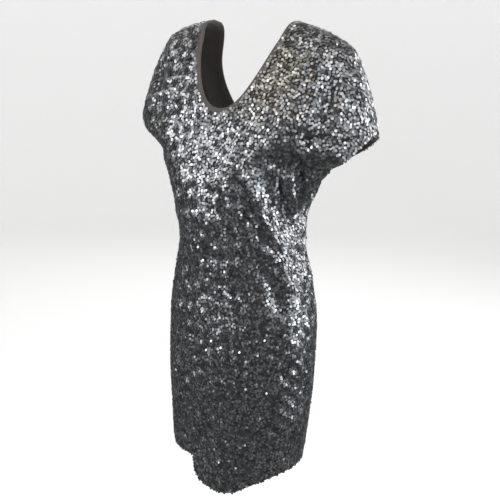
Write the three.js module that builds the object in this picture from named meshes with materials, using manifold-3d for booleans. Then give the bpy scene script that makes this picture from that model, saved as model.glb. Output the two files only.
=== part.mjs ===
// A short-sleeved cocktail dress of sequinned stretch mesh, in the hollow form it has when worn.
// Front and back are each cut in one piece with half of both sleeves. They meet along the overarm, underarm
// and side seams. A narrow band of bare mesh, seamed at the shoulders, finishes the neckline.
//
// Millimetres. The origin is midway between the two neck points, at the top of the shoulders.
// +X is the wearer's left, -Y is the way the wearer faces, and +Z is up.
import * as THREE from "three";
import { mergeVertices } from "three/addons/utils/BufferGeometryUtils.js";
import Module from "manifold-3d";

// Cloth
const wall = 1.6; // from the inner face to the tips of the sequins
const seamGap = 0.3;

// Neckline: its open edge, and the band that runs along it. The power sets how square the bottom is, and
// the back opens wider than the neck below the shoulders.
const neckHalfWidth = 92;
const bandWidth = 12;
const necklines = {
  front: { depth: 152, power: 0.43, widen: 0 },
  back: { depth: 232, power: 0.4, widen: 50 },
};

// Sleeves: a short flare that hangs from the shoulder. Its hem runs from the tip, on the overarm seam,
// in and down to the underarm, and opens as an oval round the arm.
const sleeveTip = { reach: 261, height: -182 };
const underarm = { reach: 182, height: -243 };
const hemReach = { front: 50, back: 64 }; // how far the sleeve's hem stands from its seams, at its widest
// The right sleeve hangs higher, closer in and further back than the left one.
const rightSleeve = { inward: 13, back: 12, up: 22, from: 100, over: 150, fadeBelow: 30, fadeOver: 50 };

// The bottom hem as seen from the front or from behind. It is shorter on the wearer's right, steps down
// there to a rounded tongue a little left of centre front, and rises again to the left side seam.
const hems = {
  front: [
    { reach: -180, height: -897 },
    { reach: -110, height: -896 },
    { reach: -60, height: -890 },
    { reach: -43, height: -889 },
    { reach: -40, height: -922 },
    { reach: -14, height: -943 },
    { reach: 26, height: -950 },
    { reach: 62, height: -942 },
    { reach: 84, height: -926 },
    { reach: 118, height: -903 },
    { reach: 145, height: -888 },
    { reach: 180, height: -878 },
  ],
  back: [
    { reach: -180, height: -897 },
    { reach: -100, height: -906 },
    { reach: 0, height: -912 },
    { reach: 100, height: -898 },
    { reach: 180, height: -878 },
  ],
};
const gridFoot = -960; // the panels' grids start below the hem, which is cut afterwards

// Outline of the side seam, from the hem up to the underarm
const sideSeam = [
  { height: gridFoot, reach: 148 },
  { height: -800, reach: 163 },
  { height: -700, reach: 167 },
  { height: -580, reach: 164 },
  { height: -480, reach: 150 },
  { height: -400, reach: 132 },
  { height: -340, reach: 132 },
  { height: -290, reach: 150 },
  { height: underarm.height, reach: underarm.reach },
];

// Outline of the overarm seam, from the sleeve's tip over the shoulder to the neck point
const overarmSeam = [
  { height: sleeveTip.height, reach: sleeveTip.reach },
  { height: -125, reach: 243 },
  { height: -79, reach: 222 },
  { height: -44, reach: 200 },
  { height: -19, reach: 155 },
  { height: 0, reach: neckHalfWidth },
];

// Each section is a rounded oval: how far back its seams lie, and its depth in front of and behind them
const sections = [
  { height: gridFoot, seam: 0, front: 114, back: 106 },
  { height: -800, seam: -2, front: 107, back: 110 },
  { height: -700, seam: -4, front: 108, back: 118 },
  { height: -580, seam: -6, front: 106, back: 125 },
  { height: -480, seam: -8, front: 101, back: 106 },
  { height: -400, seam: -9, front: 114, back: 86 },
  { height: -340, seam: -10, front: 131, back: 86 },
  { height: -290, seam: -11, front: 131, back: 94 },
  { height: -240, seam: -12, front: 121, back: 105 },
  { height: -170, seam: -10, front: 102, back: 114 },
  { height: -120, seam: -8, front: 88, back: 106 },
  { height: -80, seam: -6, front: 73, back: 94 },
  { height: -50, seam: -4, front: 59, back: 82 },
  { height: -30, seam: -2, front: 48, back: 70 },
  { height: 0, seam: 0, front: 38, back: 50 },
];
const ovalPower = 2.2; // 2 is an ellipse, more is squarer

// Soft bust cups of a general figure
const cup = { reach: 78, height: -292, width: 52, rise: 7 };

// The main folds: soft troughs (positive) and ridges (negative) from one point of a panel to another,
// each point given by its reach to the wearer's left and its height.
const folds = {
  front: [
    { reach: 62, height: -236, endReach: 92, endHeight: -362, width: 12, depth: 6 },
    { reach: 80, height: -240, endReach: 118, endHeight: -364, width: 9, depth: -4 },
    { reach: 102, height: -206, endReach: 130, endHeight: -366, width: 11, depth: 8 },
    { reach: 121, height: -204, endReach: 137, endHeight: -306, width: 8, depth: -4 },
    { reach: 138, height: -178, endReach: 150, endHeight: -298, width: 10, depth: 8 },
    { reach: 193, height: -66, endReach: 166, endHeight: -222, width: 14, depth: 9 },
    { reach: 86, height: -412, endReach: 134, endHeight: -538, width: 17, depth: 4 },
    { reach: -186, height: -80, endReach: -152, endHeight: -224, width: 15, depth: 7 },
    { reach: -112, height: -246, endReach: -130, endHeight: -345, width: 13, depth: 4 },
  ],
  back: [
    { reach: 192, height: -84, endReach: 150, endHeight: -250, width: 16, depth: 8 },
    { reach: -190, height: -84, endReach: -148, endHeight: -236, width: 16, depth: 8 },
    { reach: 52, height: -418, endReach: 128, endHeight: -352, width: 14, depth: 5 },
    { reach: -36, height: -438, endReach: -124, endHeight: -372, width: 17, depth: 5 },
  ],
};

// Grid of a panel: rows between the heights where its outline turns
const columns = 28;
const rows = { body: 15, sleeveHem: 6, shoulder: 12 };
const necklineSteps = 14; // for each half of a neckline
const hemSteps = 60;

/** A smooth curve through a table's rows, read at one height or reach. */
function readAt(table, inputKey, key, input) {
  const last = table.length - 1;
  const width = (k) => table[k + 1][inputKey] - table[k][inputKey];
  const slope = (k) => (table[k + 1][key] - table[k][key]) / width(k);
  const tangent = (k) => {
    if (k === 0) return slope(0);
    if (k === last) return slope(last - 1);
    const [before, after] = [slope(k - 1), slope(k)];
    return before * after <= 0 ? 0 : (2 * before * after) / (before + after);
  };
  let i = 0;
  while (i < last - 1 && input > table[i + 1][inputKey]) i++;
  const t = THREE.MathUtils.clamp((input - table[i][inputKey]) / width(i), 0, 1);
  const rest = 1 - t;
  const values = table[i][key] * rest * rest * (1 + 2 * t) + table[i + 1][key] * t * t * (3 - 2 * t);
  return values + width(i) * t * rest * (rest * tangent(i) - t * tangent(i + 1));
}

/** One side's section at a height: its depth, its full reach, and the reach at which the cloth ends. */
function sectionAt(side, height) {
  const depth = readAt(sections, "height", side, height);
  if (height <= underarm.height || height >= sleeveTip.height) {
    const outline = height <= underarm.height ? sideSeam : overarmSeam;
    const reach = readAt(outline, "height", "reach", height);
    return { depth, reach, edge: reach };
  }
  // Between the underarm and the tip the cloth ends at the sleeve's hem, short of the whole oval.
  const share = (height - underarm.height) / (sleeveTip.height - underarm.height);
  const edge = THREE.MathUtils.lerp(underarm.reach, sleeveTip.reach, share);
  const open = 2 * hemReach[side] * Math.sqrt(share * (1 - share));
  const reach = edge / Math.pow(1 - Math.pow(open / depth, ovalPower), 1 / ovalPower);
  return { depth, reach, edge };
}

/** How far the folds push the cloth in at a point of a panel. */
function foldDepth(side, reach, height) {
  let depth = 0;
  for (const fold of folds[side]) {
    const [runX, runZ] = [fold.endReach - fold.reach, fold.endHeight - fold.height];
    const [x, z] = [reach - fold.reach, height - fold.height];
    const length = Math.hypot(runX, runZ);
    const along = THREE.MathUtils.clamp((x * runX + z * runZ) / length ** 2, 0, 1);
    const across = (x * runZ - z * runX) / length / fold.width;
    depth += fold.depth * Math.sin(Math.PI * along) * Math.exp(-across * across);
  }
  return depth;
}

/** Moves a point of the right sleeve to where that sleeve hangs. */
function hangRightSleeve(point) {
  const outward = Math.max((-point.x - rightSleeve.from) / rightSleeve.over, 0);
  const above = (point.z - underarm.height + rightSleeve.fadeBelow) / rightSleeve.fadeOver;
  const share = outward * THREE.MathUtils.smoothstep(above, 0, 1);
  const move = new THREE.Vector3(rightSleeve.inward, rightSleeve.back, rightSleeve.up);
  return point.addScaledVector(move, share);
}

/** A point of one side's outer face, at a share of the way from the right seam (-1) to the left (1). */
function formPoint(side, share, height) {
  const section = sectionAt(side, height);
  const end = Math.asin(Math.pow(section.edge / section.reach, ovalPower / 2));
  const turn = Math.abs(share) * end;
  const reach = Math.sign(share) * section.reach * Math.pow(Math.sin(turn), 2 / ovalPower);
  let depth = section.depth * Math.pow(Math.max(Math.cos(turn), 0), 2 / ovalPower);
  const offSeam = THREE.MathUtils.smoothstep(1 - Math.abs(share), 0, 0.3);
  depth -= foldDepth(side, reach, height) * offSeam;
  if (side === "front") {
    const off = Math.hypot(Math.abs(reach) - cup.reach, height - cup.height) / cup.width;
    depth += cup.rise * Math.exp(-off * off);
  }
  const seam = readAt(sections, "height", "seam", height);
  const out = side === "front" ? -1 : 1;
  return hangRightSleeve(new THREE.Vector3(reach, seam + out * (depth + seamGap / 2), height));
}

/** Heights of a grid's rows. They crowd together where the sleeve's hem or the shoulder turns over. */
function rowHeights() {
  const heights = [];
  const add = (from, to, count, ease) => {
    for (let i = 0; i < count; i++) heights.push(THREE.MathUtils.lerp(from, to, ease(i / count)));
  };
  add(gridFoot, underarm.height, rows.body, (share) => share);
  add(underarm.height, sleeveTip.height, rows.sleeveHem, (share) => (1 - Math.cos(Math.PI * share)) / 2);
  add(sleeveTip.height, 0, rows.shoulder, (share) => Math.sin((Math.PI / 2) * share));
  heights.push(0);
  return heights;
}

/** The outer face of one side before its neckline and hem are cut: a grid of points. */
function sideSurface(side) {
  const surface = { points: [], onSeam: [], faces: [] };
  const heights = rowHeights();
  for (const height of heights) {
    const section = sectionAt(side, height);
    for (let j = 0; j <= columns; j++) {
      const share = (2 * j) / columns - 1;
      surface.points.push(formPoint(side, share, height));
      surface.onSeam.push(Math.abs(share) === 1 && section.edge === section.reach);
    }
  }
  for (let i = 0; i + 1 < heights.length; i++) {
    for (let j = 0; j < columns; j++) {
      const a = i * (columns + 1) + j;
      const [b, c, d] = [a + 1, a + columns + 2, a + columns + 1];
      if (side === "front") surface.faces.push([a, b, c], [a, c, d]);
      else surface.faces.push([a, c, b], [a, d, c]);
    }
  }
  return surface;
}

/** A closed wall inside a surface. The points of a seam move straight in, so the seam stays flat. */
function thicken({ points, onSeam, faces }) {
  const normals = points.map(() => new THREE.Vector3());
  for (const [a, b, c] of faces) {
    const edge = points[b].clone().sub(points[a]);
    const normal = edge.cross(points[c].clone().sub(points[a]));
    for (const index of [a, b, c]) normals[index].add(normal);
  }
  const inner = points.map((point, index) => {
    if (onSeam[index]) normals[index].y = 0;
    return point.clone().addScaledVector(normals[index].normalize(), -wall);
  });
  const count = points.length;
  const triangles = [];
  const rim = new Map();
  for (const [a, b, c] of faces) {
    triangles.push(a, b, c, count + c, count + b, count + a);
    for (const [from, to] of [[a, b], [b, c], [c, a]]) {
      if (!rim.delete(`${to} ${from}`)) rim.set(`${from} ${to}`, [from, to]);
    }
  }
  for (const [from, to] of rim.values()) {
    triangles.push(from, count + from, to, to, count + from, count + to);
  }
  const geometry = new THREE.BufferGeometry().setFromPoints([...points, ...inner]);
  return geometry.setIndex(triangles);
}

/** A block that passes through the dress from front to back, with an outline as seen from the front. */
function throughBlock(outline) {
  const length = 400; // well clear of the cloth in front and behind
  const shape = new THREE.Shape(outline.map(([reach, height]) => new THREE.Vector2(reach, height)));
  const block = new THREE.ExtrudeGeometry(shape, { depth: length, bevelEnabled: false });
  return block.rotateX(Math.PI / 2).translate(0, length / 2, 0);
}

/** A block that fills one side's neckline, grown outwards by an inset. */
function neckBlock(side, inset) {
  const { depth, power, widen } = necklines[side];
  const above = 20; // from the neck points to the block's top
  const outline = [];
  for (let i = -necklineSteps; i <= necklineSteps; i++) {
    const share = (i / necklineSteps) ** 2;
    const reach = (neckHalfWidth + inset) * Math.pow(share, power) + widen * Math.sin(Math.PI * share);
    outline.push([Math.sign(i) * reach, THREE.MathUtils.lerp(-depth - inset, 0, share)]);
  }
  outline.push([neckHalfWidth + inset, above], [-neckHalfWidth - inset, above]);
  return throughBlock(outline);
}

/** A block that fills the space below one side's hem. */
function hemBlock(side) {
  const ends = [hems[side].at(-1).reach, hems[side][0].reach];
  const outline = ends.map((reach) => [reach, gridFoot - 10]);
  for (let i = 0; i <= hemSteps; i++) {
    const reach = THREE.MathUtils.lerp(ends[1], ends[0], i / hemSteps);
    outline.push([reach, readAt(hems[side], "reach", "height", reach)]);
  }
  return throughBlock(outline);
}

const wasm = await Module();
wasm.setup();

/** A manifold-3d solid with a closed geometry's shape. */
function toSolid(geometry) {
  geometry.deleteAttribute("normal");
  geometry.deleteAttribute("uv");
  const merged = mergeVertices(geometry);
  const vertProperties = new Float32Array(merged.attributes.position.array);
  const triVerts = new Uint32Array(merged.index.array);
  return new wasm.Manifold(new wasm.Mesh({ numProp: 3, vertProperties, triVerts }));
}

/** A geometry with a manifold-3d solid's shape. */
function toGeometry(solid) {
  const mesh = solid.getMesh();
  const geometry = new THREE.BufferGeometry();
  geometry.setAttribute("position", new THREE.BufferAttribute(mesh.vertProperties, mesh.numProp));
  geometry.setIndex(new THREE.BufferAttribute(mesh.triVerts, 1));
  geometry.computeVertexNormals();
  return geometry;
}

const sequins = new THREE.MeshStandardMaterial({ color: 0x63666a, roughness: 0.35, metalness: 0.8 });
const bareMesh = new THREE.MeshStandardMaterial({ color: 0x5c544e, roughness: 0.8, metalness: 0 });

/** Adds one side of the dress: its panel, cut back from the neckline, and the band in the space left. */
function addSide(dress, side) {
  const whole = toSolid(thicken(sideSurface(side))).subtract(toSolid(hemBlock(side)));
  const cloth = whole.subtract(toSolid(neckBlock(side, bandWidth + seamGap)));
  const band = whole.intersect(toSolid(neckBlock(side, bandWidth))).subtract(toSolid(neckBlock(side, 0)));
  const panel = new THREE.Mesh(toGeometry(cloth), sequins);
  panel.name = side;
  const binding = new THREE.Mesh(toGeometry(band), bareMesh);
  binding.name = `${side}_binding`;
  dress.add(panel, binding);
}

const dress = new THREE.Group();
addSide(dress, "front");
addSide(dress, "back");

export default dress;
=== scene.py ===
# The cocktail dress: mesh cloth, sequins, neck binding and stitches on the form of the CAD panels.
# Metres, in the CAD's frame: the origin is midway between the neck points, +X is the wearer's left,
# -Y is the way the wearer faces and +Z is up.
import math

import bmesh
import bpy
import numpy as np
from mathutils import Matrix


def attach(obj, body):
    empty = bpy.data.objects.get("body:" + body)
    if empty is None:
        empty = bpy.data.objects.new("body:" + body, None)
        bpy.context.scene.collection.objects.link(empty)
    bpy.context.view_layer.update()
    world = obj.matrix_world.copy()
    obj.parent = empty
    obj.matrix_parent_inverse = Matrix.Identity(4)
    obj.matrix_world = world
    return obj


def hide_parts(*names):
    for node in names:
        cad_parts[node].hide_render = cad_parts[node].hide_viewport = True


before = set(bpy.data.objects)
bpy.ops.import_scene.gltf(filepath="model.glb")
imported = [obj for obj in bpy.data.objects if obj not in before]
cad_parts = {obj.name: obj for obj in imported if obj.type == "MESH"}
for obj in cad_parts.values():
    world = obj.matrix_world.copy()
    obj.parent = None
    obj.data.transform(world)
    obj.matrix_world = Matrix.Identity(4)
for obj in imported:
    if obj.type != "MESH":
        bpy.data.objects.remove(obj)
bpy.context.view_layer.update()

MM = 0.001


def table(columns, *rows):
    """A short table with named columns, as one array for each column."""
    return dict(zip(columns.split(), np.array(rows, float).T))


# ---- The dress's form, in millimetres: the same sections as the CAD panels ----

WALL = 1.6
NECK_HALF_WIDTH = 92
BAND_WIDTH = 12
NECKLINES = {
    "front": {"depth": 152, "power": 0.43, "widen": 0},
    "back": {"depth": 232, "power": 0.4, "widen": 58},
}
TIP_REACH, TIP_HEIGHT = 261, -182  # the sleeve's tip, on the overarm seam
UNDERARM_REACH, UNDERARM_HEIGHT = 182, -243
HEM_REACH = {"front": 50, "back": 64}  # how far the sleeve's hem stands from its seams
SLEEVE_DROP = 15  # the front of each sleeve's hem hangs this far past the back
DROP_OUTWARD, DROP_DOWN = 0.61, -0.79  # the way it hangs
RIGHT_SLEEVE = {
    "inward": 13, "back": 12, "up": 22, "from": 100, "over": 150, "fade_below": 30, "fade_over": 50,
}
SIDE_SEAM = table(
    "height reach",
    (-960, 148), (-800, 163), (-700, 167), (-580, 164), (-480, 150),
    (-400, 132), (-340, 132), (-290, 150), (UNDERARM_HEIGHT, UNDERARM_REACH),
)
OVERARM_SEAM = table(
    "height reach",
    (TIP_HEIGHT, TIP_REACH), (-125, 243), (-79, 222), (-44, 200), (-19, 155), (0, NECK_HALF_WIDTH),
)
SECTIONS = table(
    "height seam front back",
    (-960, 0, 114, 106), (-800, -2, 107, 110), (-700, -4, 108, 118), (-580, -6, 106, 125),
    (-480, -8, 101, 106), (-400, -9, 114, 86), (-340, -10, 131, 86), (-290, -11, 131, 94),
    (-240, -12, 121, 105), (-170, -10, 102, 114), (-120, -8, 88, 106), (-80, -6, 73, 94),
    (-50, -4, 59, 82), (-30, -2, 48, 70), (0, 0, 38, 50),
)
OVAL_POWER = 2.2
HEMS = {
    "front": table(
        "reach height",
        (-180, -897), (-110, -896), (-60, -890), (-43, -889), (-40, -922), (-14, -943),
        (26, -950), (62, -942), (84, -926), (118, -903), (145, -888), (180, -878),
    ),
    "back": table("reach height", (-180, -897), (-100, -906), (0, -912), (100, -898), (180, -878)),
}
CUP_REACH, CUP_HEIGHT, CUP_WIDTH, CUP_RISE = 78, -292, 52, 7

# Soft troughs (positive depths) and ridges (negative) between two points of a panel. The first rows of
# each side are the CAD panel's own folds, nine in front and four behind, and the rest are smaller.
FOLDS = {
    "front": table(
        "reach height end_reach end_height width depth",
        (62, -236, 92, -362, 12, 6), (80, -240, 118, -364, 9, -4), (102, -206, 130, -366, 11, 8),
        (121, -204, 137, -306, 8, -4), (138, -178, 150, -298, 10, 8), (193, -66, 166, -222, 14, 9),
        (86, -412, 134, -538, 17, 4), (-186, -80, -152, -224, 15, 7), (-112, -246, -130, -345, 13, 4),
        # small drag lines from the left underarm
        (70, -372, 98, -446, 7, 2.2), (176, -96, 160, -196, 7, -3.5), (232, -100, 208, -196, 8, 4),
        # waist and hip on the right side
        (-70, -392, -126, -366, 7, 2), (-88, -420, -136, -412, 6, 1.6), (-104, -298, -124, -372, 7, 2.2),
        # long soft drops in the skirt
        (-52, -560, -66, -880, 18, 2.4), (22, -520, 12, -840, 15, -2), (74, -600, 84, -880, 16, 2.2),
        (118, -560, 124, -860, 13, 2), (-108, -540, -112, -800, 14, -1.8),
        # right sleeve
        (-208, -90, -186, -190, 8, 3), (-176, -120, -160, -200, 6, -2),
    ),
    "back": table(
        "reach height end_reach end_height width depth",
        (192, -84, 150, -250, 16, 8), (-190, -84, -148, -236, 16, 8), (52, -418, 128, -352, 14, 5),
        (-36, -438, -124, -372, 17, 5),
        # across the small of the back
        (10, -392, 104, -378, 8, 2.6), (-88, -404, 18, -412, 7, 2.2), (-20, -450, 86, -440, 9, 2.4),
        (-112, -330, -60, -372, 8, 2), (60, -330, 118, -300, 9, 2.6),
        # sleeves and armholes
        (214, -96, 188, -206, 8, 3), (-212, -96, -186, -196, 8, 3), (168, -150, 150, -286, 7, 2.4),
        (-166, -140, -146, -270, 7, 2.6),
        # long soft drops in the skirt
        (-62, -600, -70, -880, 18, 2.6), (8, -620, 4, -890, 16, -2), (78, -580, 86, -870, 17, 2.4),
        (122, -560, 126, -800, 13, 1.8), (-120, -570, -124, -820, 13, 1.6),
    ),
}


# Sharper creases and ridges, along the cloth's own thickness. They run between two shares of the way to a
# seam, negative shares being on the wearer's right.
CREASES = {
    "front": table(
        "share height end_share end_height width depth",
        # drapes from the left underarm across the ribs to the hip
        (0.20, -262, 0.54, -374, 9, 7), (0.27, -244, 0.73, -398, 9, -9), (0.36, -205, 0.95, -388, 8, 11),
        (0.52, -228, 0.96, -352, 6, -6), (0.62, -212, 0.99, -344, 8, 9), (0.76, -236, 0.90, -302, 5, -4),
        (0.38, -222, 0.84, -262, 26, 12), (0.34, -176, 0.62, -196, 9, 4),
        # the left sleeve, from its shoulder and on to the underarm
        (0.66, -68, 0.46, -184, 10, 9), (0.45, -168, 0.64, -216, 9, 7), (0.76, -78, 0.57, -188, 9, -5),
        (0.82, -118, 0.72, -196, 8, 5), (0.50, -62, 0.38, -160, 8, 3),
        # the hip
        (0.40, -406, 0.64, -544, 14, 5), (0.66, -398, 0.82, -510, 20, -4), (0.86, -430, 0.74, -470, 8, 3),
        # the right side
        (-0.26, -438, 0.19, -426, 9, 3), (0.06, -314, 0.02, -404, 7, -3), (0.14, -266, 0.27, -402, 10, 4),
        (-0.25, -256, -0.30, -356, 9, 3), (-0.62, -80, -0.46, -192, 9, 6), (-0.50, -108, -0.36, -214, 8, -4),
        (-0.84, -300, -0.55, -392, 8, 4), (-0.90, -352, -0.62, -410, 7, 3),
    ),
    "back": table(
        "share height end_share end_height width depth",
        (0.30, -252, 0.80, -392, 10, 7), (0.42, -226, 0.92, -350, 9, -5), (0.58, -216, 0.97, -318, 8, 7),
        (-0.34, -240, -0.82, -374, 10, 6), (-0.50, -222, -0.92, -330, 8, -5),
        (-0.64, -214, -0.97, -300, 8, 6),
        (-0.10, -396, 0.56, -372, 9, 4), (-0.60, -408, 0.10, -421, 8, 4), (0.00, -454, 0.62, -430, 10, 3),
        (0.62, -80, 0.50, -192, 9, 6), (-0.64, -76, -0.48, -190, 9, 6), (0.74, -96, 0.62, -198, 8, -4),
        (-0.76, -92, -0.62, -198, 8, -4),
    ),
}


def read_at(rows, given, wanted, at):
    """A smooth curve through a table's rows, from one column to another, read at an array of values."""
    x, y = rows[given], rows[wanted]
    width = np.diff(x)
    slope = np.diff(y) / width
    before, after = slope[:-1], slope[1:]
    total = np.where(before + after == 0, 1, before + after)
    inner = np.where(before * after > 0, 2 * before * after / total, 0)
    tangent = np.concatenate([slope[:1], inner, slope[-1:]])
    i = np.clip(np.searchsorted(x, at, side="right") - 1, 0, len(width) - 1)
    t = np.clip((at - x[i]) / width[i], 0, 1)
    rest = 1 - t
    values = y[i] * rest**2 * (1 + 2 * t) + y[i + 1] * t**2 * (3 - 2 * t)
    return values + width[i] * t * rest * (rest * tangent[i] - t * tangent[i + 1])


def smooth(x):
    x = np.clip(x, 0, 1)
    return x * x * (3 - 2 * x)


def section_at(side, height):
    """One side's section: its depth, its full reach, and the reach at which the cloth ends."""
    depth = read_at(SECTIONS, "height", side, height)
    below = read_at(SIDE_SEAM, "height", "reach", height)
    above = read_at(OVERARM_SEAM, "height", "reach", height)
    share = np.clip((height - UNDERARM_HEIGHT) / (TIP_HEIGHT - UNDERARM_HEIGHT), 0, 1)
    edge = UNDERARM_REACH + share * (TIP_REACH - UNDERARM_REACH)
    open_by = 2 * HEM_REACH[side] * np.sqrt(share * (1 - share))
    whole = edge / (1 - (open_by / depth) ** OVAL_POWER) ** (1 / OVAL_POWER)
    reach = np.where(height <= UNDERARM_HEIGHT, below, np.where(height >= TIP_HEIGHT, above, whole))
    in_sleeve = (height > UNDERARM_HEIGHT) & (height < TIP_HEIGHT)
    return depth, reach, np.where(in_sleeve, edge, reach)


def turn_to(reach, whole):
    """The angle round the oval at which it has come out to a reach."""
    return np.arcsin(np.clip(reach / whole, 0, 1) ** (OVAL_POWER / 2))


def fold_depth(side, reach, height):
    folds, depth = FOLDS[side], 0
    for x0, z0, x1, z1, width, deep in zip(*folds.values()):
        run_x, run_z = x1 - x0, z1 - z0
        length = math.hypot(run_x, run_z)
        x, z = reach - x0, height - z0
        along = np.clip((x * run_x + z * run_z) / length**2, 0, 1)
        across = (x * run_z - z * run_x) / length / width
        depth = depth + deep * np.sin(np.pi * along) * np.exp(-across * across)
    return depth


def crease_depth(side, share, height):
    """How far the creases sink the cloth along its own thickness, in metres."""
    depth, whole, edge = section_at(side, height)
    arc = 1.03 * np.sqrt((depth**2 + whole**2) / 2) * turn_to(edge, whole)  # from the centre to the seam
    total = 0
    for s0, z0, s1, z1, width, deep in zip(*CREASES[side].values()):
        run_s, run_z = (s1 - s0) * arc, z1 - z0
        length = np.hypot(run_s, run_z)
        s, z = (share - s0) * arc, height - z0
        along = np.clip((s * run_s + z * run_z) / length**2, 0, 1)
        across = (s * run_z - z * run_s) / length / width
        total = total + deep * np.sin(np.pi * along) * np.exp(-across * across)
    return total * smooth((1 - np.abs(share)) / 0.06) * MM


def form(side, share, height):
    """Points of one side's outer face, in metres, at shares from its right seam (-1) to its left (1)."""
    share, height = np.broadcast_arrays(np.asarray(share, float), np.asarray(height, float))
    depth, whole, edge = section_at(side, height)
    turn = np.abs(share) * turn_to(edge, whole)
    reach = np.sign(share) * whole * np.sin(turn) ** (2 / OVAL_POWER)
    out = depth * np.clip(np.cos(turn), 0, 1) ** (2 / OVAL_POWER)
    out = out - fold_depth(side, reach, height) * smooth((1 - np.abs(share)) / 0.3)
    if side == "front":
        off = np.hypot(np.abs(reach) - CUP_REACH, height - CUP_HEIGHT) / CUP_WIDTH
        out = out + CUP_RISE * np.exp(-off * off)
    seam = read_at(SECTIONS, "height", "seam", height)
    points = np.stack([reach, seam + (-out if side == "front" else out), height], -1)
    if side == "front":
        along_hem = np.clip((height - UNDERARM_HEIGHT) / (TIP_HEIGHT - UNDERARM_HEIGHT), 0, 1)
        drop = SLEEVE_DROP * np.sin(np.pi * along_hem) * smooth((np.abs(share) - 0.5) / 0.5)
        points = points + np.stack([DROP_OUTWARD * np.sign(share) * drop, 0 * drop, DROP_DOWN * drop], -1)
    # the right sleeve hangs higher, closer in and further back than the left one
    hang = RIGHT_SLEEVE
    outward = np.clip((-reach - hang["from"]) / hang["over"], 0, None)
    above = smooth((height - UNDERARM_HEIGHT + hang["fade_below"]) / hang["fade_over"])
    return (points + (outward * above)[..., None] * (hang["inward"], hang["back"], hang["up"])) * MM


SHARE_STEP, HEIGHT_STEP = 0.002, 0.4  # how far off the points for a direction are
HIGHEST = -0.01  # just under the neck points, where the sections end


def outward_of(side, surface, share, height):
    """The outward direction of a surface, from points a short way off along it and up it."""
    left, right = np.minimum(share + SHARE_STEP, 1), np.maximum(share - SHARE_STEP, -1)
    higher, lower = np.minimum(height + HEIGHT_STEP, HIGHEST), height - HEIGHT_STEP
    across = surface(side, left, height) - surface(side, right, height)
    upward = surface(side, share, higher) - surface(side, share, lower)
    return unit(np.cross(across, upward)) * (1 if side == "front" else -1)


def creased(side, share, height):
    """Points of one side's outer face with its creases."""
    share, height = np.broadcast_arrays(np.asarray(share, float), np.asarray(height, float))
    depth = crease_depth(side, share, height)[..., None]
    return form(side, share, height) - outward_of(side, form, share, height) * depth


def neckline_at(side, inset, share):
    """Reach and height, in millimetres, of a line that runs inset from one side's open neck edge."""
    shape = NECKLINES[side]
    reach = (NECK_HALF_WIDTH + inset) * share ** shape["power"] + shape["widen"] * np.sin(np.pi * share)
    return reach, (shape["depth"] + inset) * (share - 1)


def neckline_top(side, inset):
    """The share at which that line meets the shoulder seam."""
    low, high = 0.7, 1.0
    for _ in range(40):
        middle = (low + high) / 2
        reach, height = neckline_at(side, inset, middle)
        if reach < read_at(OVERARM_SEAM, "height", "reach", np.array(height)):
            low = middle
        else:
            high = middle
    return low


def share_of(side, reach, height):
    """The share of the way to the seam at which the form has a reach."""
    _, whole, edge = section_at(side, height)
    return turn_to(reach, whole) / turn_to(edge, whole)


# ---- Grids and meshes ----

def unit(vectors):
    return vectors / np.maximum(np.linalg.norm(vectors, axis=-1, keepdims=True), 1e-12)


SKIRT_LEVEL = -830  # below this the rows bend to follow the hem
HEM_LEVEL = -920  # about where the hem is
FAR_FROM_HEM = 1000.0
SLEEVE_WIDTH = 190  # millimetres of cloth for a whole share, near the sleeve's hem


def row_count(start, end, row_step):
    return max(2, round(abs(end - start) / row_step))


def panel_grid(side, hand, inset, columns, row_step):
    """Half a panel, from the hem up to the neck point, in rows.

    It gives the points, their outward directions, their shares, and how far they are from a hem."""
    top_share = neckline_top(side, inset)
    depth = NECKLINES[side]["depth"] + inset
    neck_top = neckline_at(side, inset, top_share)[1]
    turns = sorted([SKIRT_LEVEL, UNDERARM_HEIGHT, TIP_HEIGHT, -depth])
    heights = [np.linspace(a, b, row_count(a, b, row_step), endpoint=False) for a, b in zip(turns, turns[1:])]
    last = turns[-1]
    eased = smooth(np.linspace(0, 1, 2 * row_count(last, neck_top, row_step)))[:-1]
    # the rows from the neckline's lowest point crowd towards both ends
    heights.append(last + (neck_top - last) * eased)
    heights = np.concatenate(heights)
    if -depth < last:  # the neckline starts below the sleeve's tip, so a few rows crowd at its foot
        extra = -depth + np.array([0.04, 0.16, 0.36, 0.64, 1.0, 1.6, 2.4])
        heights = np.sort(np.concatenate([heights, extra]))
    across = np.linspace(0, 1, columns)
    hem_share = across * hand
    hem = read_at(HEMS[side], "reach", "height", form(side, hem_share, HEM_LEVEL)[:, 0] / MM)
    rise = np.linspace(0, 1, row_count(SKIRT_LEVEL, HEM_LEVEL, row_step), endpoint=False)[:, None]
    low_rows = hem + (SKIRT_LEVEL - hem) * rise
    open_share = np.clip((heights + depth) / depth, 0, 1)
    start = share_of(side, neckline_at(side, inset, open_share)[0], heights)[:, None]
    shares = np.concatenate([hem_share + 0 * low_rows, hand * (start + (1 - start) * across)])
    heights = np.concatenate([low_rows, heights[:, None] + 0 * across])
    from_hem = np.full(shares.shape, FAR_FROM_HEM)
    from_hem[: len(low_rows)] = low_rows - hem
    in_sleeve = (heights > UNDERARM_HEIGHT) & (heights < TIP_HEIGHT)
    from_hem = np.where(in_sleeve, np.minimum(from_hem, (1 - np.abs(shares)) * SLEEVE_WIDTH), from_hem)
    return creased(side, shares, heights), outward_of(side, creased, shares, heights), shares, from_hem


def mesh_object(name, points, faces):
    mesh = bpy.data.meshes.new(name)
    mesh.from_pydata(np.asarray(points).tolist(), [], faces)
    mesh.update()
    piece = bpy.data.objects.new(name, mesh)
    bpy.context.scene.collection.objects.link(piece)
    return piece


def shade_smooth(piece):
    for polygon in piece.data.polygons:
        polygon.use_smooth = True


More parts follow.
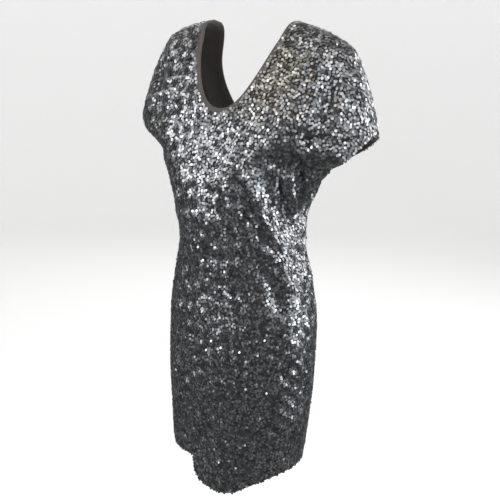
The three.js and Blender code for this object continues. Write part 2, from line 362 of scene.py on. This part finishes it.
def grid_faces(rows, columns, flip, first=0):
    i, j = np.meshgrid(np.arange(rows - 1), np.arange(columns - 1), indexing="ij")
    a = first + (i * columns + j).ravel()
    quads = np.stack([a, a + 1, a + columns + 1, a + columns], 1)
    return quads[:, ::-1] if flip else quads


# ---- Panels ----

UNDER_BINDING = 1.5  # the cloth starts this far inside the neck binding's edge
PANEL_COLUMNS, PANEL_ROW_STEP = 68, 3.6
CLOTH_DEPTH = 0.5  # the cloth lies this far under the sequins
HEM_TURNING = 15  # the cloth is double this far up from the hems
HEM_WALL = 1.5
SINGLE_SHARE = 0.45  # of the hem's thickness, where the cloth is single


def make_panel(side, cloth, lining):
    """The panel's mesh cloth, a thin wall that reaches under the neck binding."""
    halves = [panel_grid(side, hand, UNDER_BINDING, PANEL_COLUMNS, PANEL_ROW_STEP) for hand in (1, -1)]
    points, faces, maps, turned_up = [], [], [], []
    first = 0
    for hand, (grid, outward, shares, from_hem) in zip((1, -1), halves):
        turned_up.append((from_hem < HEM_TURNING).ravel())
        rows, columns = shares.shape
        sunk = grid - outward * CLOTH_DEPTH * MM
        points.append(sunk.reshape(-1, 3))
        faces.append(grid_faces(rows, columns, (hand == 1) != (side == "front"), first))
        along = np.linspace(0, 1, rows)[:, None] * np.ones(columns)
        across = 0.5 + 0.5 * hand * np.linspace(0, 1, columns)[None] * np.ones((rows, 1))
        maps.append(np.stack([across, along], -1).reshape(-1, 2))
        first += rows * columns
    points, faces, maps = np.concatenate(points), np.concatenate(faces), np.concatenate(maps)
    # the two halves share their centre column, up to the neckline
    left = np.arange(rows) * columns
    right = left + rows * columns
    shared = halves[0][2][:, 0] == 0
    swap = np.arange(len(points))
    swap[right[shared]] = left[shared]
    faces = swap[faces]
    piece = mesh_object(f"{side}_cloth", points, faces.tolist())
    corner_map = piece.data.uv_layers.new(name="OFBake")
    corner_map.uv.foreach_set("vector", maps[faces.ravel()].astype(np.float32).ravel())
    hem = piece.vertex_groups.new(name="turned_hem")
    hem.add(np.flatnonzero(np.concatenate(turned_up)).tolist(), 1, "REPLACE")
    loose = [v for v in range(len(points)) if swap[v] != v]
    remove_loose(piece.data, loose)
    shade_smooth(piece)
    piece.data.materials.append(cloth)
    piece.data.materials.append(lining)
    wall = piece.modifiers.new("wall", "SOLIDIFY")
    wall.thickness = HEM_WALL * MM
    wall.vertex_group = "turned_hem"
    wall.thickness_vertex_group = SINGLE_SHARE
    wall.offset = -1
    wall.material_offset = 1
    wall.use_quality_normals = True
    return piece


def remove_loose(mesh, indices):
    """Deletes the centre points of one half, which its faces no longer use."""
    work = bmesh.new()
    work.from_mesh(mesh)
    work.verts.ensure_lookup_table()
    bmesh.ops.delete(work, geom=[work.verts[i] for i in indices], context="VERTS")
    work.to_mesh(mesh)
    work.free()


# ---- Sequins ----

SEQUIN_RADIUS = 2.8
SEQUIN_SPACING = 3.95  # the least distance between two centres
SEQUIN_CORNERS = 8
SHADES = 16
SCATTER_COLUMNS, SCATTER_ROW_STEP = 70, 4
PANEL_TRIES, LAP_TRIES = 3.2, 3  # places tried for each spacing squared of cloth
SEQUIN_EDGE = BAND_WIDTH + 1.5  # where the panels' sequins start, from the neck edge
LEFT_LAP, RIGHT_LAP = 4, 8.5  # where the front's sequins that lap over the binding start
LAP_LIFT = 1.25

# Tilts, in radians
TILT_SPREAD = 0.075
TURNED_PART, TURNED_SPREAD = 0.06, 0.33  # a few have turned on their threads
HANG_TILT = 0.06
SLACK_TILT, SLACK_HEIGHT, SLACK_REACH = 0.2, -0.37, 0.06  # over the ribs and waist, in metres
FLARE_TILT = 0.22
RIPPLE_WAVES, RIPPLE_TILT = 14, 0.055
RIPPLE_LENGTHS = (14, 28)
TAUT_LOSS = 0.32  # the part of the ripple that the skirt loses

WARM_REACH, WARM_HEIGHT, WARM_RADIUS = 84, -92, 70


def sample(points, outward, density, found_points, found_out, rng):
    """Adds evenly spread random places on a grid, with its outward directions."""
    a, b = points[:-1, :-1], points[:-1, 1:]
    c, d = points[1:, 1:], points[1:, :-1]
    near_half = np.linalg.norm(np.cross(b - a, d - a), axis=-1)
    far_half = np.linalg.norm(np.cross(b - c, d - c), axis=-1)
    area = (near_half + far_half) / 2
    wanted = int(area.sum() / (SEQUIN_SPACING * MM) ** 2 * density)
    cell = rng.choice(area.size, wanted, p=area.ravel() / area.sum())
    i, j = np.divmod(cell, area.shape[1])
    u, v = rng.random((2, wanted, 1))
    for grid, found in ((points, found_points), (outward, found_out)):
        low = grid[i, j] * (1 - u) + grid[i, j + 1] * u
        high = grid[i + 1, j] * (1 - u) + grid[i + 1, j + 1] * u
        found.append(low * (1 - v) + high * v)


def scatter(side, rng):
    """Places for the sequins of one side: points and outward directions, at least a spacing apart."""
    found_points, found_out = [], []
    for hand in (1, -1):
        points, outward, _, _ = panel_grid(side, hand, SEQUIN_EDGE, SCATTER_COLUMNS, SCATTER_ROW_STEP)
        sample(points, outward, PANEL_TRIES, found_points, found_out, rng)
    if side == "front":
        # on the front they lap over the binding, and on its left side nearly to the edge
        left, right = slice(0, LOOP_STEPS), slice(3 * LOOP_STEPS, 4 * LOOP_STEPS)
        for lap, quarter in ((LEFT_LAP, left), (RIGHT_LAP, right)):
            points, outward = binding_rings(np.array([lap, (lap + BAND_WIDTH) / 2, SEQUIN_EDGE]))
            points, outward = points[:, quarter], outward[:, quarter]
            sample(points + outward * LAP_LIFT * MM, outward, LAP_TRIES, found_points, found_out, rng)
    points, outward = np.concatenate(found_points), unit(np.concatenate(found_out))
    order = rng.permutation(len(points))
    points, outward = points[order], outward[order]
    cells = np.floor(points / (SEQUIN_SPACING * MM)).astype(int)
    taken, kept = {}, []
    near = [(x, y, z) for x in (-1, 0, 1) for y in (-1, 0, 1) for z in (-1, 0, 1)]
    least = (SEQUIN_SPACING * MM) ** 2
    place = points.tolist()
    for index, (cx, cy, cz) in enumerate(cells.tolist()):
        x, y, z = place[index]
        for dx, dy, dz in near:
            for px, py, pz in taken.get((cx + dx, cy + dy, cz + dz), ()):
                if (px - x) ** 2 + (py - y) ** 2 + (pz - z) ** 2 < least:
                    break
            else:
                continue
            break
        else:
            taken.setdefault((cx, cy, cz), []).append((x, y, z))
            kept.append(index)
    return points[kept], outward[kept]


def ripple(points, rng):
    """A shared tilt for neighbouring sequins, because the mesh under them puckers at every few stitches."""
    total = np.zeros((len(points), 2))
    for _ in range(RIPPLE_WAVES):
        wavelength = rng.uniform(*RIPPLE_LENGTHS) * MM
        way = unit(rng.normal(0, 1, 3)) * 2 * np.pi / wavelength
        phase = rng.random(2) * 2 * np.pi
        total += np.sin((points @ way)[:, None] + phase)
    return total * RIPPLE_TILT


def make_sequins(side, material, rng):
    """One side's sequins as a single mesh of small flat discs, each tilted a little on its thread."""
    points, outward = scatter(side, rng)
    count, corners = len(points), SEQUIN_CORNERS
    down = unit(np.array([0, 0, -1.0]) - outward * (outward @ [0, 0, -1.0])[:, None] + 1e-9)
    aside = np.cross(outward, down)
    tilt = rng.normal(0, TILT_SPREAD, (count, 2))
    turned = rng.random((count, 1)) < TURNED_PART
    tilt += np.where(turned, rng.normal(0, TURNED_SPREAD, (count, 2)), 0)
    tilt[:, 0] -= HANG_TILT  # hung by the top, the lower edge stands off a little
    # over the ribs and waist the cloth is slack and they lie back further
    tilt[:, 0] -= SLACK_TILT * np.exp(-((points[:, 2] - SLACK_HEIGHT) / SLACK_REACH) ** 2)
    # and at the tips of the sleeves, where the hem flares
    flare = smooth((-points[:, 2] / MM - 160) / 30) * smooth((np.abs(points[:, 0]) / MM - 190) / 30)
    tilt[:, 0] -= FLARE_TILT * flare
    # the skirt is drawn smooth over the hips, so its sequins lie flatter
    taut = smooth((-points[:, 2:] / MM - 400) / 90)
    tilt += ripple(points, rng) * (1 - TAUT_LOSS * taut)
    facing = unit(outward + tilt[:, :1] * down + tilt[:, 1:] * aside)
    first = unit(down - facing * (down * facing).sum(1)[:, None])
    second = np.cross(facing, first)
    spin = rng.random(count) * 2 * np.pi
    radius = SEQUIN_RADIUS * MM * rng.uniform(0.92, 1.06, count)
    lift = rng.uniform(0.25, 0.95, count) * MM
    angle = spin[:, None] + np.arange(corners) * 2 * np.pi / corners
    ring = np.cos(angle)[..., None] * first[:, None] + np.sin(angle)[..., None] * second[:, None]
    rim = (points + outward * lift[:, None])[:, None] + radius[:, None, None] * ring
    mesh = bpy.data.meshes.new(f"{side}_sequins")
    mesh.vertices.add(count * corners)
    mesh.vertices.foreach_set("co", rim.astype(np.float32).ravel())
    mesh.loops.add(count * corners)
    mesh.loops.foreach_set("vertex_index", np.arange(count * corners, dtype=np.int32))
    mesh.polygons.add(count)
    mesh.polygons.foreach_set("loop_start", np.arange(count, dtype=np.int32) * corners)
    mesh.update(calc_edges=True)
    # some of the front's sequins beside the neckline's left edge are tinted warm, more of them the closer
    # they lie
    off = np.hypot(points[:, 0] / MM - WARM_REACH, points[:, 2] / MM - WARM_HEIGHT)
    warmth = np.clip(1.25 - off / WARM_RADIUS, 0, 1)
    warm = (rng.random(count) < warmth) & (side == "front")
    shade = rng.integers(0, SHADES, count) + SHADES * warm
    colours = shade_colours()[shade]
    layer = mesh.color_attributes.new(name="shade", type="FLOAT_COLOR", domain="CORNER")
    layer.data.foreach_set("color", np.repeat(colours, corners, 0).astype(np.float32).ravel())
    # every sequin of a shade has the same patch of the map
    across = math.ceil(math.sqrt(2 * SHADES))
    centre = np.stack([shade % across, shade // across], 1) + 0.5
    spread = 0.35 * np.stack([np.cos(angle), np.sin(angle)], -1)
    corner_map = mesh.uv_layers.new(name="OFBake")
    corner_map.uv.foreach_set("vector", ((centre[:, None] + spread) / across).astype(np.float32).ravel())
    piece = bpy.data.objects.new(mesh.name, mesh)
    bpy.context.scene.collection.objects.link(piece)
    mesh.materials.append(material)
    return piece


def shade_colours():
    """The sequins' shades, from near black to silver, most of them dark."""
    step = np.linspace(0, 1, SHADES)
    value = 0.18 + 0.62 * step**1.3
    cool = np.stack([value * 0.97, value * 0.985, value * 1.03, np.ones(SHADES)], 1)
    return np.concatenate([cool, cool * (1.04, 0.97, 0.84, 1)])


# ---- Neck binding ----

LOOP_STEPS = 130  # points in each quarter of a ring
# Each quarter's side, its hand, and whether it climbs to the shoulder
QUARTERS = (("front", 1, True), ("back", 1, False), ("back", -1, True), ("front", -1, False))
LEAF_OUT, LEAF_IN = 0.9, 0.3  # how far the two leaves stand from the cloth's faces
BINDING_WALL = 0.4


def neck_loop(insets, steps):
    """Rings round the whole neckline, one for each inset: down the left front, and round by the back."""
    rings = []
    for inset in insets:
        ring = []
        for side, hand, upward in QUARTERS:
            t = np.linspace(0, 1, steps, endpoint=False)
            t = t if upward else 1 - t
            share = neckline_top(side, inset) * t**2
            reach, height = neckline_at(side, inset, share)
            ring.append(form(side, hand * share_of(side, reach, height), height))
        rings.append(np.concatenate(ring))
    return np.array(rings)


def binding_rings(insets):
    """Rings of the neckline with their outward directions, from which the binding is made."""
    rings = neck_loop(insets, LOOP_STEPS)
    along = np.roll(rings, -1, 1) - np.roll(rings, 1, 1)
    out = unit(np.cross(np.gradient(rings, axis=0), along))
    return rings, -out if out[0, 0, 1] > 0 else out  # the first point is at centre front, which faces -Y


def make_binding(material):
    """A strip folded over the neck edge: an outer leaf, a round turn at the edge and an inner leaf."""
    insets = np.linspace(0, BAND_WIDTH, 7)
    rings, out = binding_rings(insets)
    outer = rings + out * (LEAF_OUT * MM)
    inner = rings - out * ((WALL + LEAF_IN) * MM)
    edge_out = unit(rings[0] - rings[1])
    turn = []
    middle = (outer[0] + inner[0]) / 2
    half = (WALL + LEAF_OUT + LEAF_IN) / 2 * MM
    for angle in np.linspace(60, -60, 5):
        a = math.radians(angle)
        turn.append(middle + out[0] * half * math.sin(a) + edge_out * half * math.cos(a))
    strip = np.concatenate([outer[::-1], np.array(turn), inner])
    count, ring = strip.shape[:2]
    points = strip.reshape(-1, 3)
    i, j = np.meshgrid(np.arange(count - 1), np.arange(ring), indexing="ij")
    nxt = (j + 1) % ring
    low, high = i * ring, (i + 1) * ring
    faces = np.stack([low + j, low + nxt, high + nxt, high + j], -1).reshape(-1, 4)
    piece = mesh_object("neck_binding", points, faces.tolist())
    corner_map = piece.data.uv_layers.new(name="OFBake")
    maps = np.stack([j / ring, i / (count - 1)], -1)
    right = np.stack([(j + 1) / ring, i / (count - 1)], -1)
    up = np.array([0, 1 / (count - 1)])
    corners = np.stack([maps, right, right + up, maps + up], 2)
    corner_map.uv.foreach_set("vector", corners.astype(np.float32).ravel())
    shade_smooth(piece)
    piece.data.materials.append(material)
    wall = piece.modifiers.new("wall", "SOLIDIFY")
    wall.thickness = BINDING_WALL * MM
    wall.offset = 0
    return piece


STITCH_INSET, STITCH_LENGTH, STITCH_STEP, STITCH_RADIUS = 6, 2.2, 3.2, 0.28
STITCH_LIFT = 1.15


def point_along(run, line, at):
    """The point of a line, or the direction kept with it, at a length along it."""
    return np.array([np.interp(at, run, line[:, k]) for k in range(3)])


def make_stitches(material):
    """One line of small rounded stitches along the middle of the binding, where no sequins cover it."""
    rings, out = binding_rings(np.array([STITCH_INSET - 1, STITCH_INSET, STITCH_INSET + 1]))
    line = rings[1, LOOP_STEPS:] + out[1, LOOP_STEPS:] * STITCH_LIFT * MM
    facing = out[1, LOOP_STEPS:]
    run = np.concatenate([[0], np.cumsum(np.linalg.norm(np.diff(line, axis=0), axis=1))])
    starts = np.arange(STITCH_STEP, run[-1] / MM - STITCH_STEP, STITCH_STEP) * MM
    points, faces = [], []
    around, profile = 6, ((0, 0.35), (0.18, 0.85), (0.5, 1), (0.82, 0.85), (1, 0.35))
    for start in starts:
        ends = [point_along(run, line, start + gap * MM) for gap in (0, STITCH_LENGTH)]
        up = unit(point_along(run, facing, start))
        along = unit(ends[1] - ends[0])
        side = np.cross(along, up)
        first = len(points)
        for share, size in profile:
            centre = ends[0] + (ends[1] - ends[0]) * share
            for k in range(around):
                angle = 2 * math.pi * k / around
                way = side * math.cos(angle) + up * math.sin(angle)
                points.append(centre + way * size * STITCH_RADIUS * MM)
        for ring in range(len(profile) - 1):
            for k in range(around):
                n = (k + 1) % around
                low, high = first + ring * around, first + (ring + 1) * around
                faces.append((low + k, low + n, high + n, high + k))
        faces.append(tuple(first + k for k in reversed(range(around))))
        faces.append(tuple(first + (len(profile) - 1) * around + k for k in range(around)))
    piece = mesh_object("binding_stitches", np.array(points), faces)
    shade_smooth(piece)
    piece.data.materials.append(material)
    return piece


# ---- Materials ----

def new_material(name):
    material = bpy.data.materials.new(name)
    material.use_nodes = True
    return material, material.node_tree.nodes, material.node_tree.links


def sequin_material():
    material, nodes, links = new_material("sequin_film")
    shader = nodes["Principled BSDF"]
    shader.inputs["Metallic"].default_value = 1
    shader.inputs["Roughness"].default_value = 0.36
    shade = nodes.new("ShaderNodeAttribute")
    shade.attribute_name = "shade"
    links.new(shade.outputs["Color"], shader.inputs["Base Color"])
    return material


def knit_material(name, dark, light, scale, roughness):
    """A fine net of stretch mesh: rows of loops as colour and as bump."""
    material, nodes, links = new_material(name)
    shader = nodes["Principled BSDF"]
    shader.inputs["Roughness"].default_value = roughness
    shader.inputs["Sheen Weight"].default_value = 0.25
    place = nodes.new("ShaderNodeTexCoord")
    cells = nodes.new("ShaderNodeTexVoronoi")
    cells.inputs["Scale"].default_value = scale
    links.new(place.outputs["Object"], cells.inputs["Vector"])
    cloud = nodes.new("ShaderNodeTexNoise")
    cloud.inputs["Scale"].default_value = 18
    links.new(place.outputs["Object"], cloud.inputs["Vector"])
    mix = nodes.new("ShaderNodeMix")
    mix.data_type = "RGBA"
    mix.inputs[6].default_value = (*dark, 1)
    mix.inputs[7].default_value = (*light, 1)
    both = nodes.new("ShaderNodeMath")
    both.operation = "MULTIPLY"
    links.new(cells.outputs["Distance"], both.inputs[0])
    links.new(cloud.outputs["Fac"], both.inputs[1])
    scaled = nodes.new("ShaderNodeMath")
    scaled.operation = "MULTIPLY"
    scaled.inputs[1].default_value = 2.2
    links.new(both.outputs[0], scaled.inputs[0])
    links.new(scaled.outputs[0], mix.inputs[0])
    links.new(mix.outputs[2], shader.inputs["Base Color"])
    bump = nodes.new("ShaderNodeBump")
    bump.inputs["Strength"].default_value = 0.4
    bump.inputs["Distance"].default_value = 0.0004
    links.new(cells.outputs["Distance"], bump.inputs["Height"])
    links.new(bump.outputs["Normal"], shader.inputs["Normal"])
    return material


# ---- Room, lights and camera ----

FLOOR_HEIGHT = -1.42  # the wearer's neck points are this far above the floor


def make_room():
    """A round pale studio sweep: a floor that curves up into a wall on every side."""
    wall_radius, corner, wall_height, sides = 6.0, 2.0, 5.0, 96
    profile = [(0.5, 0), (1.0, 0), (2.5, 0), (wall_radius - corner, 0)]
    for step in range(1, 13):
        a = math.pi / 2 * step / 12
        profile.append((wall_radius - corner + corner * math.sin(a), corner - corner * math.cos(a)))
    profile.append((wall_radius, wall_height))
    points = [
        (r * math.cos(2 * math.pi * k / sides), r * math.sin(2 * math.pi * k / sides), FLOOR_HEIGHT + z)
        for r, z in profile for k in range(sides)
    ]
    faces = [tuple(reversed(range(sides)))]
    for i in range(len(profile) - 1):
        for k in range(sides):
            n = (k + 1) % sides
            faces.append((i * sides + k, i * sides + n, (i + 1) * sides + n, (i + 1) * sides + k))
    room = mesh_object("studio_sweep", points, faces)
    shade_smooth(room)
    material, nodes, _ = new_material("studio_paint")
    paint = nodes["Principled BSDF"]
    paint.inputs["Base Color"].default_value = (0.8, 0.8, 0.8, 1)
    paint.inputs["Roughness"].default_value = 0.9
    paint.inputs["Emission Color"].default_value = (1, 1, 1, 1)
    paint.inputs["Emission Strength"].default_value = 0.26
    room.data.materials.append(material)
    room.visible_glossy = False


def aim(thing, place, target, roll=0.0):
    """Puts a camera or lamp at a place so that it looks at a target."""
    forward = unit(target - place)
    level = unit(np.cross(forward, [0, 0, 1.0]))
    up = np.cross(level, forward)
    right = level * math.cos(roll) + up * math.sin(roll)
    up = up * math.cos(roll) - level * math.sin(roll)
    axes = np.stack([right, up, -forward], 1)
    matrix = Matrix(np.block([[axes, place[:, None]], [np.zeros((1, 3)), np.ones((1, 1))]]).tolist())
    thing.matrix_world = matrix


def area_light_from(name, azimuth, height, distance, size, radiance, colour=(1, 1, 1)):
    """A soft round lamp that looks at the dress. Azimuth 0 is in front, and 90 on the wearer's left."""
    turn, rise = math.radians(azimuth), math.radians(height)
    target = np.array([0, 0, -0.35])
    way = np.array([math.sin(turn) * math.cos(rise), -math.cos(turn) * math.cos(rise), math.sin(rise)])
    power = radiance * math.pi * math.pi * size**2 / 4
    data = bpy.data.lights.new(name, "AREA")
    data.shape, data.size, data.energy, data.color = "DISK", size, power, colour
    lamp = bpy.data.objects.new(name, data)
    bpy.context.scene.collection.objects.link(lamp)
    aim(lamp, target + way * distance, target)


# The surrounding light, from straight down (0) to straight up (1)
AIR_COLOURS = (
    (0.0, (0.128, 0.134, 0.134)),
    (0.44, (0.086, 0.089, 0.09)),
    (0.62, (0.22, 0.22, 0.215)),
    (1.0, (0.42, 0.41, 0.40)),
)


def make_lights():
    # name, azimuth and height in degrees, distance and size in metres, radiance, colour
    area_light_from("key", -37, 17, 3.0, 2.4, 2.15, (0.975, 0.985, 1))
    area_light_from("side", 95, 10, 2.8, 2.2, 2.6, (0.92, 0.98, 1))
    area_light_from("high_side", 46, 48, 2.6, 1.5, 1.5, (0.97, 0.985, 1))
    area_light_from("top", -12, 60, 2.4, 1.4, 0.9, (1, 0.95, 0.87))
    area_light_from("behind_left", 150, 18, 3.0, 2.3, 2.0)
    area_light_from("behind_right", -140, 24, 3.0, 2.0, 1.8)
    world = bpy.data.worlds.new("studio_air")
    world.use_nodes = True
    nodes, links = world.node_tree.nodes, world.node_tree.links
    place = nodes.new("ShaderNodeTexCoord")
    split = nodes.new("ShaderNodeSeparateXYZ")
    links.new(place.outputs["Generated"], split.inputs[0])
    ramp = nodes.new("ShaderNodeValToRGB")
    while len(ramp.color_ramp.elements) < len(AIR_COLOURS):
        ramp.color_ramp.elements.new(0.5)
    for element, (where, colour) in zip(ramp.color_ramp.elements, AIR_COLOURS):
        element.position = where
        element.color = (*colour, 1)
    level = nodes.new("ShaderNodeMapRange")
    level.inputs["From Min"].default_value = -1
    links.new(split.outputs["Z"], level.inputs["Value"])
    links.new(level.outputs["Result"], ramp.inputs["Fac"])
    links.new(ramp.outputs["Color"], nodes["Background"].inputs["Color"])
    nodes["Background"].inputs["Strength"].default_value = 1
    bpy.context.scene.world = world


def make_camera():
    azimuth, pitch, roll = math.radians(32.9), math.radians(19.4), math.radians(2.4)
    away, height = 1.30, -0.054
    data = bpy.data.cameras.new("camera")
    data.sensor_width = 36
    data.lens = 47.5
    data.shift_x, data.shift_y = 0.012, 0.068
    camera = bpy.data.objects.new("camera", data)
    bpy.context.scene.collection.objects.link(camera)
    place = np.array([math.sin(azimuth) * away, -math.cos(azimuth) * away, height])
    target = place + (-math.sin(azimuth), math.cos(azimuth), -math.tan(pitch))
    aim(camera, place, target, roll)
    bpy.context.scene.camera = camera


# ---- Build ----

make_camera()
make_room()
make_lights()
rng = np.random.default_rng(7)
film = sequin_material()
ground = knit_material("dark_mesh", (0.012, 0.012, 0.013), (0.035, 0.034, 0.034), 900, 0.8)
wrong_side = knit_material("mesh_wrong_side", (0.05, 0.044, 0.039), (0.11, 0.099, 0.089), 900, 0.85)
band = knit_material("bare_mesh", (0.055, 0.046, 0.040), (0.12, 0.104, 0.092), 1400, 0.8)
thread = knit_material("sewing_thread", (0.16, 0.145, 0.13), (0.24, 0.22, 0.2), 3000, 0.6)

for side in ("front", "back"):
    cloth = make_panel(side, ground, wrong_side)
    sequins = make_sequins(side, film, rng)
    for piece in (cloth, sequins):
        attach(piece, "root")
        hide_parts(side)
binding = make_binding(band)
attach(binding, "root")
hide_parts("front_binding", "back_binding")
stitches = make_stitches(thread)
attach(stitches, "root")
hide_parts("front_binding", "back_binding")

bpy.context.scene.view_settings.view_transform = "Standard"
